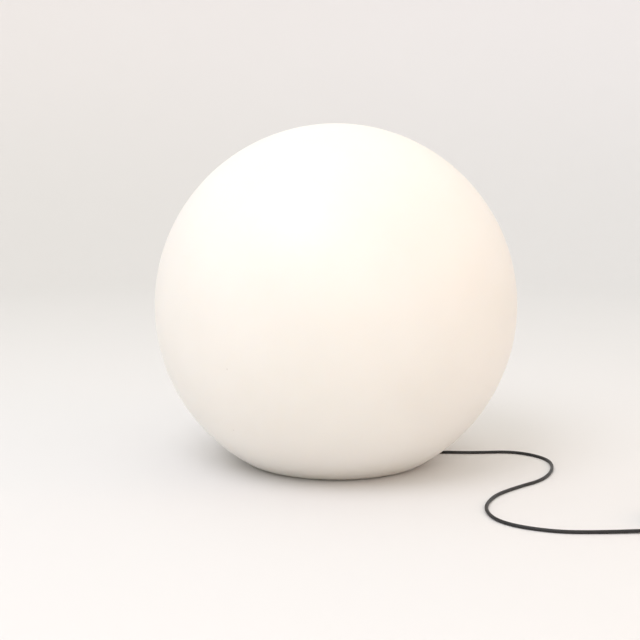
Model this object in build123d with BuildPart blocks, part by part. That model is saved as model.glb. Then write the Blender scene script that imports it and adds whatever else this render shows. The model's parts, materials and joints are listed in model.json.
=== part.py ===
from build123d import *
import os
from math import cos, dist, pi, radians, sin, sqrt, tan

# Garden globe light: a white plastic globe, cut flat below, that lifts off a
# base unit with a lamp column, an E27 lamp and five metres of outdoor flex.
# Millimetres. The origin is on the ground under the globe's axis, +Z is up,
# and the flex leaves towards +X.

# Globe
globe_diameter = 750.0
ground_radius = 187.08
globe_wall = 4.0
ground_edge_radius = 40.0
well_clearance = 2.0
well_taper = 4.0
well_edge_radius = 8.0
well_lip_width = 14.0
flange_seat_width = 9.0
flange_thickness = 6.0
flange_corner_radius = 3.0
insert_boss_radius = 8.0
insert_boss_height = 20.0
insert_radius = 4.0
insert_length = 12.0
insert_spare_depth = 3.0
insert_groove_width = 2.0
lane_half_width = 6.5
lane_height = 11.0

# Base pan and what seals and carries it
pan_height = 72.0
plate_margin = 9.0
plate_thickness = 4.0
gasket_thickness = 2.0
gasket_margin = 1.0
skirt_inset = 11.0
skirt_wall = 4.0
rim_width = 12.0
rim_thickness = 4.0
rib_count = 6
rib_thickness = 3.0
rib_depth = 20.0
rib_hub_radius = 12.0
pad_count = 6
pad_radius = 5.0
pad_height = 3.0
pad_pin_radius = 2.0
pad_first_angle = 50.0

# Screws that hold the globe to the pan
fixing_count = 6
fixing_ring_radius = 107.0
fixing_screw_radius = 2.5
fixing_head_radius = 4.75
fixing_head_height = 3.0
fixing_washer_radius = 5.5
fixing_washer_thickness = 1.0
fixing_screw_length = 18.0

# Cable gland, M16, and the flex
gland_x = 44.0
gland_y = 22.0
gland_thread_radius = 8.0
gland_across_flats = 20.0
gland_hex_height = 5.0
gland_washer_thickness = 1.5
gland_cap_length = 21.5
gland_cap_overlap = 9.5
gland_mouth_wall = 2.5
gland_stub_above = 8.0
gland_nut_height = 4.5
gland_seal_radius = 6.2
gland_seal_taper = 1.0
gland_thread_lead = 1.0
cap_groove_count = 12
cap_groove_radius = 1.3
cap_groove_outset = 0.7
flex_diameter = 6.4
sheath_stub_height = 28.0
core_radius = 1.35
core_spacing = 3.0
core_loop_brown = 16.0
core_loop_blue = 13.0
lead_radius = 1.1
lead_spacing = 3.2
lead_loop_brown = 16.0
lead_loop_blue = 12.0
lead_step = 4.0
wire_grip = 1.5

# Breather in the pan
vent_x = -45.0
vent_y = -26.0
vent_radius = 6.0
vent_head_radius = 8.5
vent_head_height = 5.0
vent_slot_width = 1.2
vent_stub_height = 2.0

# Terminal block on the pan
block_y = 58.0
block_length = 30.0
block_width = 24.0
block_height = 18.0
pole_spacing = 12.0
pole_height = 8.0
pole_tube_radius = 2.6
pole_bore_radius = 1.6
pole_screw_radius = 1.5
pole_screw_place = 8.0
pole_screw_depth = 2.0
block_screw_radius = 1.5
block_screw_head_radius = 2.8
block_screw_head_height = 2.0
block_floor = 12.0
block_corner_radius = 2.0
block_slot_width = 0.8
pole_slot_width = 0.6
tube_end_gap = 2.0

# Lamp column
column_radius = 24.0
column_wall = 2.5
column_height = 114.0
column_top_thickness = 3.0
column_foot_radius = 34.0
column_foot_thickness = 4.0
column_screw_ring_radius = 29.0
column_screw_count = 4
column_screw_radius = 1.75
column_screw_head_radius = 3.3
column_screw_head_height = 2.2
column_screw_length = 14.0
screw_boss_wall = 2.75
screw_boss_depth = 10.0
window_width = 9.0
window_low = 18.0
window_high = 33.0
window_corner_radius = 3.0

# E27 lampholder
nipple_radius = 5.0
nipple_bore_radius = 3.5
nipple_tail = 10.0
nipple_rise = 8.0
nut_across_flats = 14.0
nut_height = 4.0
holder_radius = 20.0
holder_wall = 2.4
holder_base_height = 32.0
holder_base_floor = 3.0
holder_edge = 2.0
holder_core_height = 14.0
holder_core_drop = 10.0
holder_core_recess_radius = 12.3
holder_core_recess_depth = 7.0
holder_terminal_radius = 3.0
holder_terminal_spacing = 16.0
holder_terminal_drop = 2.5
holder_skirt_height = 27.0
holder_lip_thickness = 2.0
contact_thickness = 0.6
contact_spring_height = 2.8
contact_width = 5.0
contact_foot = 2.0
holder_groove_count = 24
holder_groove_radius = 1.2
holder_groove_outset = 0.6

# E27 screw thread
thread_pitch = 3.629
thread_radius = 13.1
thread_root_radius = 12.05
thread_turns = 4
sleeve_turns = 5
sleeve_wall = 0.8
sleeve_ridge_radius = 0.9
cap_ridge_radius = 1.15
thread_clearance = 0.3
thread_start = 2.0

# LED lamp, 95 mm globe
lamp_length = 138.0
lamp_dome_diameter = 95.0
lamp_dome_wall = 1.5
lamp_cap_length = 21.0
lamp_cap_bore_radius = 10.6
lamp_insulator_height = 6.0
lamp_insulator_radius = 11.0
lamp_tip_radius = 4.5
lamp_tip_height = 1.2
lamp_housing_height = 27.0
lamp_housing_low_radius = 14.0
lamp_housing_wall = 1.8
board_radius = 24.5
board_thickness = 1.6
board_depth = 5.0
chip_count = 12
chip_ring_radius = 17.0
chip_length = 3.5
chip_width = 2.8
chip_height = 0.7
driver_width = 18.0
driver_length = 38.0
driver_thickness = 1.6
capacitor_radius = 4.5
capacitor_length = 13.0
transformer_size = 9.0

# Exit, coil, ties and plug of the flex
exit_bend_height = 22.5
coil_x = 590.0
coil_y = -443.0
coil_inner_radius = 26.5
coil_turn_step = 7.1
coil_layer_step = 6.9
coil_layer_turns = 3.5
coil_layers = 4
coil_last_cut = 0.25
tie_thickness = 1.1
tie_width = 10.0
tie_corner_radius = 3.0
tie_count = 3
tie_first_angle = 60.0
plug_x = 643.5
plug_sleeve_start_y = -342.0
plug_sleeve_length = 26.0
plug_sleeve_low_radius = 4.4
plug_sleeve_high_radius = 7.0
plug_length = 44.0
plug_width = 34.0
plug_thickness = 24.0
plug_corner_radius = 8.0
plug_face_break = 1.5
plug_pin_radius = 2.4
plug_pin_length = 19.0
plug_pin_spacing = 19.0
tail_straight = 18.0
tail_run = 31.0
tail_rise = 3.0
tail_shift = 2.0

# Clearances, broken edges and slots
hole_clearance = 0.3
fit_clearance = 0.1
seat_clearance = 0.2
tie_clearance = 0.15
tie_give = 0.8
edge_break = 0.8
rim_break = 1.0
slot_depth = 1.0

# Sizes that follow from those above
globe_radius = globe_diameter / 2
globe_centre_height = sqrt(globe_radius**2 - ground_radius**2)
globe_height = globe_centre_height + globe_radius
inner_radius = globe_radius - globe_wall
inner_ground_radius = sqrt(inner_radius**2 - (globe_centre_height - globe_wall) ** 2)
plate_top = pan_height + plate_thickness
flange_under = plate_top + gasket_thickness
flange_top = flange_under + flange_thickness
flange_bore_radius = fixing_ring_radius - flange_seat_width
plate_radius = fixing_ring_radius + plate_margin
skirt_radius = fixing_ring_radius - skirt_inset
well_top_radius = plate_radius + well_clearance
well_mouth_radius = well_top_radius + well_taper
well_part_radius = well_mouth_radius + well_lip_width
flex_radius = flex_diameter / 2
gland_hex_low = pan_height - gland_washer_thickness - gland_hex_height
gland_mouth = gland_hex_low - gland_cap_length
gland_stub_top = plate_top + gland_stub_above
sheath_top = plate_top + sheath_stub_height
lane_y = gland_y - 1
column_top = plate_top + column_height
holder_rim = column_top + holder_base_height
holder_core_low = holder_rim - holder_core_drop
holder_core_top = holder_core_low + holder_core_height
contact_floor = holder_core_top - holder_core_recess_depth
tip_low = contact_floor + contact_spring_height + seat_clearance
tip_top = tip_low + lamp_tip_height
cap_low = tip_top + lamp_insulator_height
cap_top = cap_low + lamp_cap_length
lamp_top = tip_low + lamp_length
dome_radius = lamp_dome_diameter / 2
dome_centre = lamp_top - dome_radius
dome_low = cap_top + lamp_housing_height
dome_seat_radius = sqrt(dome_radius**2 - (dome_centre - dome_low) ** 2)
board_low = dome_low - board_depth
sleeve_radius = thread_radius + thread_clearance
coil_outer_radius = coil_inner_radius + coil_layer_turns * coil_turn_step
coil_low = tie_thickness + tie_clearance + flex_radius
coil_top = coil_low + (coil_layers - 1) * coil_layer_step
coil_entry_y = coil_y - coil_outer_radius
plug_height = plug_thickness / 2

made = []


def keep(part, name):
    part.label = name
    made.append(part)


def turned(points, centre=(0, 0)):
    """Revolve an outline of (radius, height) points round an upright axis."""
    side = Plane(origin=(centre[0], centre[1], 0), x_dir=(1, 0, 0), z_dir=(0, -1, 0))
    with BuildSketch(side) as section:
        with BuildLine():
            Polyline(*points, close=True)
        make_face()
    revolve(section.sketch, axis=Axis((centre[0], centre[1], 0), (0, 0, 1)))


def arch(half_width, height):
    """A doorway shape that stands on the ground line of its sketch."""
    with Locations((0, (height - half_width) / 2)):
        Rectangle(2 * half_width, height - half_width)
    with Locations((0, height - half_width)):
        Circle(half_width)


def screw(head_radius, head_height, shank_radius, shank_length, socket=0.45):
    """A socket screw whose head hangs below z = 0 and whose shank points up."""
    with BuildPart() as made_screw:
        with BuildSketch(Plane.XY.offset(-head_height)):
            Circle(head_radius)
        extrude(amount=head_height)
        chamfer(made_screw.edges().group_by(Axis.Z)[0], head_height * 0.2)
        with BuildSketch(Plane.XY):
            Circle(shank_radius)
        extrude(amount=shank_length)
        chamfer(made_screw.edges().group_by(Axis.Z)[-1], shank_radius * 0.2)
        with BuildSketch(Plane.XY.offset(-head_height)):
            RegularPolygon(head_radius * socket, 6)
        extrude(amount=head_height * 0.6, mode=Mode.SUBTRACT)
    return made_screw.part


def corner_radii(points):
    """The largest even bend for each corner: 0.45 of its shorter run."""
    radii = []
    for before, corner, after in zip(points, points[1:], points[2:]):
        arriving = Vector(*corner) - Vector(*before)
        leaving = Vector(*after) - Vector(*corner)
        half_turn = radians(arriving.get_angle(leaving)) / 2
        shorter = min(arriving.length, leaving.length)
        radii.append(0.45 * shorter / tan(half_turn))
    return radii


def tube(points, radius):
    """Sweep a round section along straight runs joined by tangent arcs."""
    with BuildLine() as route:
        FilletPolyline(*points, radius=corner_radii(points))
    wire = route.wires()[0]
    with BuildSketch(Plane(origin=wire @ 0, z_dir=wire % 0)) as section:
        Circle(radius)
    sweep(section.sketch, path=wire)
    return wire


# ---- Globe ----
def ground_outline(top_height):
    """The globe's outer surface from the pole to the inside of its base well."""
    ThreePointArc((0, globe_height), (globe_radius, globe_centre_height), (ground_radius, 0))
    Polyline((ground_radius, 0), (well_mouth_radius, 0), (well_top_radius, top_height))


with BuildPart() as globe_outside:
    with BuildSketch(Plane.XZ):
        with BuildLine():
            ground_outline(flange_under)
            Polyline((well_top_radius, flange_under), (0, flange_under), (0, globe_height))
        make_face()
    revolve(axis=Axis.Z)

# the ball and its base well are one moulding, kept as two nodes that meet face to face
with BuildPart() as globe_moulding:
    # the cover of the flex's lane, trimmed to the outside of the globe
    with BuildSketch(Plane.YZ.offset(well_top_radius)):
        with Locations((lane_y, 0)):
            arch(lane_half_width + globe_wall, lane_height + globe_wall)
    extrude(amount=ground_radius + globe_wall * 4 - well_top_radius)
    add(globe_outside.part, mode=Mode.INTERSECT)
    # the wall, with its well and the flange that the pan bolts to
    with BuildSketch(Plane.XZ) as globe_section:
        with BuildLine():
            ground_outline(flange_under)
            Polyline(
                (well_top_radius, flange_under),
                (flange_bore_radius, flange_under),
                (flange_bore_radius, flange_top),
                (well_top_radius + globe_wall, flange_top),
                (well_mouth_radius + globe_wall, globe_wall),
                (inner_ground_radius, globe_wall),
            )
            ThreePointArc(
                (inner_ground_radius, globe_wall),
                (inner_radius, globe_centre_height),
                (0, globe_height - globe_wall),
            )
            Line((0, globe_height - globe_wall), (0, globe_height))
        make_face()
        for corner, radius in (
            ((ground_radius, 0), ground_edge_radius),
            ((inner_ground_radius, globe_wall), ground_edge_radius - globe_wall),
            ((well_mouth_radius, 0), well_edge_radius),
            ((well_mouth_radius + globe_wall, globe_wall), well_edge_radius - globe_wall),
            ((well_top_radius, flange_under), flange_corner_radius),
            ((well_top_radius + globe_wall, flange_top), flange_corner_radius + globe_wall),
        ):
            fillet(globe_section.vertices().sort_by_distance(corner)[0], radius)
    revolve(axis=Axis.Z)
    # bosses for the brass inserts
    with BuildSketch(Plane.XY.offset(flange_under + flange_thickness / 2)):
        with PolarLocations(fixing_ring_radius, fixing_count):
            Circle(insert_boss_radius)
    extrude(amount=insert_boss_height - flange_thickness / 2)
    with BuildSketch(Plane.XY.offset(flange_under)):
        with PolarLocations(fixing_ring_radius, fixing_count):
            Circle(insert_radius)
    extrude(amount=insert_length + insert_spare_depth, mode=Mode.SUBTRACT)
    # the lane itself
    with BuildSketch(Plane.YZ.offset(well_top_radius - globe_wall)):
        with Locations((lane_y, 0)):
            arch(lane_half_width, lane_height)
    extrude(amount=globe_radius - well_top_radius, mode=Mode.SUBTRACT)

with BuildPart() as well_space:
    with BuildSketch(Plane.XY):
        Circle(well_part_radius)
    extrude(amount=flange_under + insert_boss_height + globe_wall)

with BuildPart() as globe_shell:
    add(globe_moulding.part)
    add(well_space.part, mode=Mode.SUBTRACT)
keep(globe_shell.part, "globe_shell")

with BuildPart() as globe_well:
    add(globe_moulding.part)
    add(well_space.part, mode=Mode.INTERSECT)
keep(globe_well.part, "globe_well")

with BuildPart() as shell_inserts:
    with BuildSketch(Plane.XY.offset(flange_under)):
        with PolarLocations(fixing_ring_radius, fixing_count):
            Circle(insert_radius)
            Circle(fixing_screw_radius + hole_clearance, mode=Mode.SUBTRACT)
    extrude(amount=insert_length)
    with BuildSketch(Plane.XY.offset(flange_under + (insert_length - insert_groove_width) / 2)):
        with PolarLocations(fixing_ring_radius, fixing_count):
            Circle(insert_radius * 1.25)
            Circle(insert_radius * 0.875, mode=Mode.SUBTRACT)
    extrude(amount=insert_groove_width, mode=Mode.SUBTRACT)
keep(shell_inserts.part, "shell_inserts")

# ---- Base pan, gasket, feet ----
with BuildPart() as base_pan:
    with BuildSketch(Plane.XY.offset(pan_height)):
        Circle(plate_radius)
    extrude(amount=plate_thickness)
    with BuildSketch(Plane.XY.offset(pad_height)):
        Circle(skirt_radius)
        Circle(skirt_radius - skirt_wall, mode=Mode.SUBTRACT)
    extrude(amount=pan_height - pad_height)
    with BuildSketch(Plane.XY.offset(pad_height)):
        Circle(skirt_radius)
        Circle(skirt_radius - rim_width, mode=Mode.SUBTRACT)
    extrude(amount=rim_thickness)
    with BuildSketch(Plane.XY.offset(pan_height - rib_depth)):
        with PolarLocations((rib_hub_radius + skirt_radius - skirt_wall) / 2, rib_count):
            Rectangle(skirt_radius - skirt_wall - rib_hub_radius + rib_thickness, rib_thickness)
        Circle(rib_hub_radius + rib_thickness / 2)
        Circle(rib_hub_radius - rib_thickness / 2, mode=Mode.SUBTRACT)
    extrude(amount=rib_depth)
    # bosses under the plate for the column's and the terminal block's screws
    with BuildSketch(Plane.XY.offset(pan_height - screw_boss_depth)):
        with PolarLocations(column_screw_ring_radius, column_screw_count, start_angle=45):
            Circle(column_screw_radius + screw_boss_wall)
        with Locations((0, block_y)):
            Circle(block_screw_radius + screw_boss_wall)
    extrude(amount=screw_boss_depth)
    with BuildSketch(Plane.XY.offset(pan_height - screw_boss_depth)):
        with PolarLocations(column_screw_ring_radius, column_screw_count, start_angle=45):
            Circle(column_screw_radius)
        with Locations((0, block_y)):
            Circle(block_screw_radius)
    extrude(amount=screw_boss_depth + plate_thickness, mode=Mode.SUBTRACT)
    # holes through the plate
    with BuildSketch(Plane.XY.offset(pan_height)):
        with PolarLocations(fixing_ring_radius, fixing_count):
            Circle(fixing_screw_radius + hole_clearance)
        with Locations((gland_x, gland_y)):
            Circle(gland_thread_radius + fit_clearance)
        with Locations((vent_x, vent_y)):
            Circle(vent_radius + fit_clearance)
    extrude(amount=plate_thickness, mode=Mode.SUBTRACT)
    # pockets for the foot pads, and the flex's way out
    with BuildSketch(Plane.XY.offset(pad_height)):
        with PolarLocations(skirt_radius - rim_width / 2, pad_count, start_angle=pad_first_angle):
            Circle(pad_pin_radius + fit_clearance)
    extrude(amount=rim_thickness, mode=Mode.SUBTRACT)
    with BuildSketch(Plane.YZ.offset(skirt_radius - rim_width * 2)):
        with Locations((lane_y, 0)):
            arch(lane_half_width, lane_height)
    extrude(amount=rim_width * 2 + skirt_wall, mode=Mode.SUBTRACT)
    chamfer(base_pan.edges().filter_by(GeomType.CIRCLE).sort_by(SortBy.RADIUS)[-2:], edge_break)
keep(base_pan.part, "base_pan")

with BuildPart() as pan_gasket:
    with BuildSketch(Plane.XY.offset(plate_top)):
        Circle(plate_radius - gasket_margin)
        Circle(flange_bore_radius + gasket_margin, mode=Mode.SUBTRACT)
        with PolarLocations(fixing_ring_radius, fixing_count):
            Circle(fixing_screw_radius + hole_clearance, mode=Mode.SUBTRACT)
    extrude(amount=gasket_thickness)
keep(pan_gasket.part, "pan_gasket")

with BuildPart() as foot_pads:
    with BuildSketch(Plane.XY):
        with PolarLocations(skirt_radius - rim_width / 2, pad_count, start_angle=pad_first_angle):
            Circle(pad_radius)
    extrude(amount=pad_height)
    chamfer(foot_pads.edges().group_by(Axis.Z)[0], pad_height * 0.2)
    with BuildSketch(Plane.XY.offset(pad_height)):
        with PolarLocations(skirt_radius - rim_width / 2, pad_count, start_angle=pad_first_angle):
            Circle(pad_pin_radius)
    extrude(amount=rim_thickness)
keep(foot_pads.part, "foot_pads")

# ---- Screws and washers that hold the globe ----
fixing_screw = screw(fixing_head_radius, fixing_head_height, fixing_screw_radius, fixing_screw_length)
with BuildPart() as shell_screws:
    with Locations((0, 0, pan_height - fixing_washer_thickness)):
        with PolarLocations(fixing_ring_radius, fixing_count):
            add(fixing_screw)
keep(shell_screws.part, "shell_screws")

with BuildPart() as shell_washers:
    with BuildSketch(Plane.XY.offset(pan_height - fixing_washer_thickness)):
        with PolarLocations(fixing_ring_radius, fixing_count):
            Circle(fixing_washer_radius)
            Circle(fixing_screw_radius + fit_clearance, mode=Mode.SUBTRACT)
    extrude(amount=fixing_washer_thickness)
keep(shell_washers.part, "shell_washers")

# ---- Cable gland and breather ----
gland = (gland_x, gland_y)
gland_bore_radius = flex_radius + seat_clearance
seal_low = gland_mouth + gland_cap_length / 4
seal_top = gland_hex_low - gland_cap_overlap / 4

with BuildPart() as gland_washer:
    with BuildSketch(Plane.XY.offset(pan_height - gland_washer_thickness)):
        with Locations(gland):
            Circle(gland_across_flats / 2)
            Circle(gland_thread_radius + fit_clearance, mode=Mode.SUBTRACT)
    extrude(amount=gland_washer_thickness)
keep(gland_washer.part, "gland_washer")

with BuildPart() as gland_body:
    with BuildSketch(Plane.XY.offset(gland_hex_low)):
        with Locations(gland):
            RegularPolygon(gland_across_flats / 2, 6, major_radius=False)
    extrude(amount=gland_hex_height)
    turned(
        (
            (gland_bore_radius, seal_top),
            (gland_seal_radius + fit_clearance, seal_top),
            (gland_seal_radius + fit_clearance, gland_hex_low - gland_cap_overlap),
            (gland_thread_radius, gland_hex_low - gland_cap_overlap),
            (gland_thread_radius, gland_stub_top - gland_thread_lead),
            (gland_thread_radius - gland_thread_lead, gland_stub_top),
            (gland_bore_radius, gland_stub_top),
        ),
        gland,
    )
    with BuildSketch(Plane.XY.offset(seal_top)):
        with Locations(gland):
            Circle(gland_bore_radius)
    extrude(amount=gland_stub_top - seal_top, mode=Mode.SUBTRACT)
keep(gland_body.part, "gland_body")

with BuildPart() as gland_seal:
    turned(
        (
            (flex_radius + fit_clearance / 2, seal_low),
            (gland_seal_radius - gland_seal_taper, seal_low),
            (gland_seal_radius, seal_low + gland_seal_taper),
            (gland_seal_radius, seal_top),
            (flex_radius + fit_clearance / 2, seal_top),
        ),
        gland,
    )
keep(gland_seal.part, "gland_seal")

with BuildPart() as gland_cap:
    cap_bore = gland_thread_radius + fit_clearance
    cap_outer = cap_bore + gland_mouth_wall
    turned(
        (
            (flex_radius + hole_clearance, gland_mouth),
            (flex_radius + gland_mouth_wall, gland_mouth),
            (cap_outer - 0.8, gland_hex_low - gland_cap_overlap - 2),
            (cap_outer, gland_hex_low - gland_cap_overlap),
            (cap_outer, gland_hex_low),
            (cap_bore, gland_hex_low),
            (cap_bore, gland_hex_low - gland_cap_overlap - 1),
            (gland_seal_radius + hole_clearance, seal_low),
            (flex_radius + hole_clearance, seal_low),
        ),
        gland,
    )
    with BuildSketch(Plane.XY.offset(gland_hex_low - gland_cap_overlap)):
        with Locations(gland):
            with PolarLocations(cap_outer + cap_groove_outset, cap_groove_count):
                Circle(cap_groove_radius)
    extrude(amount=gland_cap_overlap - 1, mode=Mode.SUBTRACT)
keep(gland_cap.part, "gland_cap")

with BuildPart() as gland_locknut:
    with BuildSketch(Plane.XY.offset(plate_top)):
        with Locations(gland):
            RegularPolygon(gland_across_flats / 2, 6, major_radius=False)
            Circle(gland_thread_radius + fit_clearance, mode=Mode.SUBTRACT)
    extrude(amount=gland_nut_height)
keep(gland_locknut.part, "gland_locknut")

with BuildPart() as vent_plug:
    with BuildSketch(Plane.XY.offset(pan_height - vent_head_height)):
        with Locations((vent_x, vent_y)):
            RegularPolygon(vent_head_radius, 6)
    extrude(amount=vent_head_height)
    chamfer(vent_plug.edges().group_by(Axis.Z)[0], edge_break)
    with BuildSketch(Plane.XY.offset(pan_height)):
        with Locations((vent_x, vent_y)):
            Circle(vent_radius)
    extrude(amount=plate_thickness + vent_stub_height)
    with BuildSketch(Plane.XY.offset(pan_height - vent_head_height)):
        with Locations((vent_x, vent_y)):
            Rectangle(vent_head_radius, vent_slot_width)
            Rectangle(vent_slot_width, vent_head_radius)
    extrude(amount=vent_head_height / 2, mode=Mode.SUBTRACT)
keep(vent_plug.part, "vent_plug")

# ---- Flex inside the globe, terminal block and leads ----
pole_low_y = block_y - pole_spacing / 2
pole_high_y = block_y + pole_spacing / 2
pole_z = plate_top + pole_height
block_end = block_length / 2

with BuildPart() as sheath_stub:
    with BuildSketch(Plane.XY.offset(gland_mouth)):
        with Locations(gland):
            Circle(flex_radius)
    extrude(amount=sheath_top - gland_mouth)
keep(sheath_stub.part, "sheath_stub")

with BuildPart() as supply_core_brown:
    tube(
        (
            (gland_x + core_spacing / 2, gland_y, sheath_top),
            (gland_x + core_spacing / 2, gland_y, sheath_top + core_loop_brown),
            (gland_x, gland_y + 1.25 * core_loop_brown, sheath_top + 1.2 * core_loop_brown),
            (gland_x - 0.3 * core_loop_brown, block_y, sheath_top + 0.2 * core_loop_brown),
            (block_end + core_loop_brown, pole_high_y, pole_z),
            (block_end - wire_grip, pole_high_y, pole_z),
        ),
        core_radius,
    )
keep(supply_core_brown.part, "supply_core_brown")

with BuildPart() as supply_core_blue:
    tube(
        (
            (gland_x - core_spacing / 2, gland_y, sheath_top),
            (gland_x - core_spacing / 2, gland_y, sheath_top + core_loop_blue),
            (
                gland_x - 0.3 * core_loop_blue,
                gland_y + 1.1 * core_loop_blue,
                sheath_top + 1.15 * core_loop_blue,
            ),
            (gland_x - 0.7 * core_loop_blue, block_y - 0.85 * core_loop_blue, sheath_top),
            (block_end + core_loop_blue, pole_low_y, pole_z),
            (block_end - wire_grip, pole_low_y, pole_z),
        ),
        core_radius,
    )
keep(supply_core_blue.part, "supply_core_blue")

with BuildPart() as terminal_block:
    with BuildSketch(Plane.XY.offset(plate_top)):
        with Locations((0, block_y)):
            RectangleRounded(block_length, block_width, block_corner_radius)
    extrude(amount=block_height)
    with BuildSketch(Plane.XY.offset(plate_top + block_floor)):
        with Locations((0, block_y)):
            Circle(block_screw_head_radius + fit_clearance)
    extrude(amount=block_height - block_floor, mode=Mode.SUBTRACT)
    with BuildSketch(Plane.XY.offset(plate_top)):
        with Locations((0, block_y)):
            Circle(block_screw_radius + hole_clearance)
    extrude(amount=block_floor, mode=Mode.SUBTRACT)
    with BuildSketch(Plane.YZ.offset(-block_end)):
        with Locations((pole_low_y, pole_z), (pole_high_y, pole_z)):
            Circle(core_radius + hole_clearance)
    extrude(amount=block_length, mode=Mode.SUBTRACT)
    with BuildSketch(Plane.YZ.offset(tube_end_gap - block_end)):
        with Locations((pole_low_y, pole_z), (pole_high_y, pole_z)):
            Circle(pole_tube_radius)
    extrude(amount=block_length - 2 * tube_end_gap, mode=Mode.SUBTRACT)
    with BuildSketch(Plane.XY.offset(pole_z)):
        with GridLocations(2 * pole_screw_place, pole_spacing, 2, 2):
            with Locations((0, block_y)):
                Circle(pole_screw_radius + fit_clearance)
    extrude(amount=block_height, mode=Mode.SUBTRACT)
keep(terminal_block.part, "terminal_block")

with BuildPart() as terminal_tubes:
    with BuildSketch(Plane.YZ.offset(tube_end_gap - block_end)):
        with Locations((pole_low_y, pole_z), (pole_high_y, pole_z)):
            Circle(pole_tube_radius)
            Circle(pole_bore_radius, mode=Mode.SUBTRACT)
    extrude(amount=block_length - 2 * tube_end_gap)
    with BuildSketch(Plane.XY.offset(pole_z)):
        with GridLocations(2 * pole_screw_place, pole_spacing, 2, 2):
            with Locations((0, block_y)):
                Circle(pole_screw_radius + fit_clearance)
    extrude(amount=pole_tube_radius, mode=Mode.SUBTRACT)
keep(terminal_tubes.part, "terminal_tubes")

with BuildPart() as terminal_screws:
    with BuildSketch(Plane.XY.offset(pole_z)):
        with GridLocations(2 * pole_screw_place, pole_spacing, 2, 2):
            with Locations((0, block_y)):
                Circle(pole_screw_radius)
    extrude(amount=block_height - pole_height - pole_screw_depth)
    with BuildSketch(Plane.XY.offset(plate_top + block_height - pole_screw_depth - slot_depth)):
        with GridLocations(2 * pole_screw_place, pole_spacing, 2, 2):
            with Locations((0, block_y)):
                Rectangle(2 * pole_screw_radius, pole_slot_width)
    extrude(amount=slot_depth, mode=Mode.SUBTRACT)
keep(terminal_screws.part, "terminal_screws")

with BuildPart() as block_screw:
    with BuildSketch(Plane.XY.offset(plate_top + block_floor)):
        with Locations((0, block_y)):
            Circle(block_screw_head_radius)
    extrude(amount=block_screw_head_height)
    with BuildSketch(Plane.XY.offset(pan_height - screw_boss_depth + 1)):
        with Locations((0, block_y)):
            Circle(block_screw_radius)
    extrude(amount=plate_thickness + block_floor + screw_boss_depth - 1)
    with BuildSketch(Plane.XY.offset(plate_top + block_floor + block_screw_head_height - slot_depth)):
        with Locations((0, block_y)):
            Rectangle(2 * block_screw_head_radius, block_slot_width)
    extrude(amount=slot_depth, mode=Mode.SUBTRACT)
keep(block_screw.part, "block_screw")

terminal_y = holder_terminal_spacing / 2
terminal_low = holder_core_low - holder_terminal_drop
window_floor = plate_top + window_low
window_top = plate_top + window_high
nipple_top = column_top + nipple_rise


def lead(side, block_pole_y, out, window_z):
    """A silicone lead from the terminal block through the column to the holder."""
    pass_y = side * lead_spacing / 2
    return tube(
        (
            (wire_grip - block_end, block_pole_y, pole_z),
            (-block_end - out, block_pole_y, pole_z),
            (-block_end - 1.9 * out - 0.75 * lead_step, block_pole_y - 0.75 * out, pole_z + lead_step),
            (-block_end - 1.9 * out - 2 * lead_step, block_pole_y - 2.4 * out, pole_z + 3 * lead_step),
            (-column_radius - out, pass_y, window_z),
            (0, pass_y, window_z),
            (0, pass_y, nipple_top + 0.75 * lead_step),
            (0, side * terminal_y, nipple_top + 2.125 * lead_step),
            (0, side * terminal_y, holder_core_low + lead_radius),
        ),
        lead_radius,
    )


with BuildPart() as lead_brown:
    lead(1, pole_high_y, lead_loop_brown, window_top - 1.25 * lead_step)
keep(lead_brown.part, "lead_brown")

with BuildPart() as lead_blue:
    lead(-1, pole_low_y, lead_loop_blue, window_floor + 1.25 * lead_step)
keep(lead_blue.part, "lead_blue")

# ---- Lamp column ----
column_foot_top = plate_top + column_foot_thickness
column_roof = column_top - column_top_thickness

with BuildPart() as lamp_column:
    turned(
        (
            (column_radius - column_wall, plate_top),
            (column_foot_radius - rim_break, plate_top),
            (column_foot_radius, plate_top + rim_break),
            (column_foot_radius, column_foot_top - rim_break),
            (column_foot_radius - rim_break, column_foot_top),
            (column_radius, column_foot_top),
            (column_radius, column_top - rim_break),
            (column_radius - rim_break, column_top),
            (0, column_top),
            (0, column_roof),
            (column_radius - column_wall, column_roof),
        )
    )
    with BuildSketch(Plane.XY.offset(plate_top)):
        with PolarLocations(column_screw_ring_radius, column_screw_count, start_angle=45):
            Circle(column_screw_radius + hole_clearance)
    extrude(amount=column_foot_thickness, mode=Mode.SUBTRACT)
    with BuildSketch(Plane.XY.offset(column_roof)):
        Circle(nipple_radius + fit_clearance)
    extrude(amount=column_top_thickness, mode=Mode.SUBTRACT)
    with BuildSketch(Plane.YZ.offset(-column_radius - 1)):
        with Locations((0, (window_floor + window_top) / 2)):
            RectangleRounded(window_width, window_high - window_low, window_corner_radius)
    extrude(amount=column_wall + 3, mode=Mode.SUBTRACT)
keep(lamp_column.part, "lamp_column")

column_screw = screw(
    column_screw_head_radius, column_screw_head_height, column_screw_radius, column_screw_length
)
column_screw_upside_down = column_screw.rotate(Axis.X, 180)
with BuildPart() as column_screws:
    with Locations((0, 0, column_foot_top)):
        with PolarLocations(column_screw_ring_radius, column_screw_count, start_angle=45):
            add(column_screw_upside_down)
keep(column_screws.part, "column_screws")

# ---- E27 lampholder ----
with BuildPart() as holder_nipple:
    with BuildSketch(Plane.XY.offset(column_top - nipple_tail)):
        Circle(nipple_radius)
        Circle(nipple_bore_radius, mode=Mode.SUBTRACT)
    extrude(amount=nipple_tail + nipple_rise)
keep(holder_nipple.part, "holder_nipple")

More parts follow.
